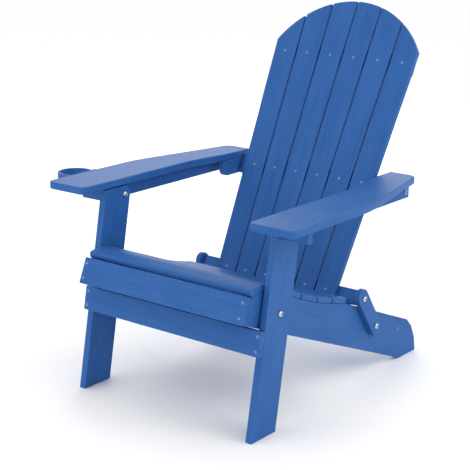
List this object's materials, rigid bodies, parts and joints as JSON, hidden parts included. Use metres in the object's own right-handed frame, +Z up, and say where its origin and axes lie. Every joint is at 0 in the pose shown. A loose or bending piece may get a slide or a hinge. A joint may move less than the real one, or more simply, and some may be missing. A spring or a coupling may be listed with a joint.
{
  "type": "adirondack chair",
  "caption": "Folding garden armchair with a fanned slatted back with an arched top, a sloping slatted seat, broad flat arms on linked legs and a cup loop beside the right arm.",
  "frame": {"origin": "on the floor, under the middle of the whole chair's box", "axes": "+X to the sitter's left, -Y the way the sitter faces, +Z up"},
  "size_m": [0.866, 0.8986, 0.9845],
  "materials": {
    "plastic_board": "mid blue plastic board with a fine brushed wood-like grain and eased edges",
    "zinc_steel": "bright zinc-plated bolts and spacers"
  },
  "bodies": {
    "seat_frame": {"side_rail_left": "plastic_board", "side_rail_right": "plastic_board", "seat_front_board": "plastic_board", "rear_stretcher": "plastic_board", "seat_nose_slat": "plastic_board", "seat_slat_1": "plastic_board", "seat_slat_2": "plastic_board", "seat_slat_3": "plastic_board", "seat_slat_4": "plastic_board", "seat_slat_5": "plastic_board", "leg_bolt_left": "zinc_steel", "leg_bolt_right": "zinc_steel", "link_bolt_left": "zinc_steel", "link_bolt_right": "zinc_steel", "leg_spacer_left": "zinc_steel", "leg_spacer_right": "zinc_steel"},
    "legs": {"leg_left": "plastic_board", "leg_right": "plastic_board", "front_apron": "plastic_board"},
    "arm_left": {"arm_board_left": "plastic_board", "arm_rail_left": "plastic_board", "arm_cleat_left": "plastic_board", "arm_block_left": "plastic_board", "arm_bolt_left": "zinc_steel", "back_bolt_left": "zinc_steel", "back_spacer_left": "zinc_steel"},
    "arm_right": {"arm_board_right": "plastic_board", "arm_rail_right": "plastic_board", "arm_cleat_right": "plastic_board", "arm_block_right": "plastic_board", "arm_bolt_right": "zinc_steel", "back_bolt_right": "zinc_steel", "back_spacer_right": "zinc_steel", "cup_loop": "plastic_board"},
    "link_left": {"link_plate_left": "plastic_board"},
    "link_right": {"link_plate_right": "plastic_board"},
    "back": {"back_slat_1": "plastic_board", "back_slat_2": "plastic_board", "back_slat_3": "plastic_board", "back_slat_4": "plastic_board", "back_slat_5": "plastic_board", "back_slat_6": "plastic_board", "back_rail_top": "plastic_board", "back_rail_mid": "plastic_board", "back_rail_low": "plastic_board", "back_foot_bolt_left": "zinc_steel", "back_foot_bolt_right": "zinc_steel"}
  },
  "joints": [
    {"name": "leg_fold", "type": "hinge", "parent": "seat_frame", "child": "legs", "pos_m": [0.035, -0.3234, 0.3066], "axis": [1, 0, 0], "range_deg": [0, 77.9]},
    {"name": "arm_fold_left", "type": "hinge", "parent": "legs", "child": "arm_left", "pos_m": [0.035, -0.2636, 0.5069], "axis": [1, 0, 0], "range_deg": [-90.23, 0]},
    {"name": "arm_fold_right", "type": "hinge", "parent": "legs", "child": "arm_right", "pos_m": [0.035, -0.2636, 0.5069], "axis": [1, 0, 0], "range_deg": [-90.23, 0]},
    {"name": "link_fold_left", "type": "hinge", "parent": "seat_frame", "child": "link_left", "pos_m": [0.035, 0.1373, 0.1457], "axis": [1, 0, 0], "range_deg": [-104.54, 0]},
    {"name": "link_fold_right", "type": "hinge", "parent": "seat_frame", "child": "link_right", "pos_m": [0.035, 0.1373, 0.1457], "axis": [1, 0, 0], "range_deg": [-104.54, 0]},
    {"name": "back_fold", "type": "hinge", "parent": "link_left", "child": "back", "pos_m": [0.035, 0.0724, 0.24], "axis": [1, 0, 0], "range_deg": [0, 198.27]}
  ],
  "couplings": [
    {"joint": "arm_fold_left", "follows": "leg_fold", "ratio": -1.1582},
    {"joint": "arm_fold_right", "follows": "leg_fold", "ratio": -1.1582},
    {"joint": "link_fold_left", "follows": "leg_fold", "ratio": -1.3419},
    {"joint": "link_fold_right", "follows": "leg_fold", "ratio": -1.3419},
    {"joint": "back_fold", "follows": "leg_fold", "ratio": 2.5451}
  ]
}
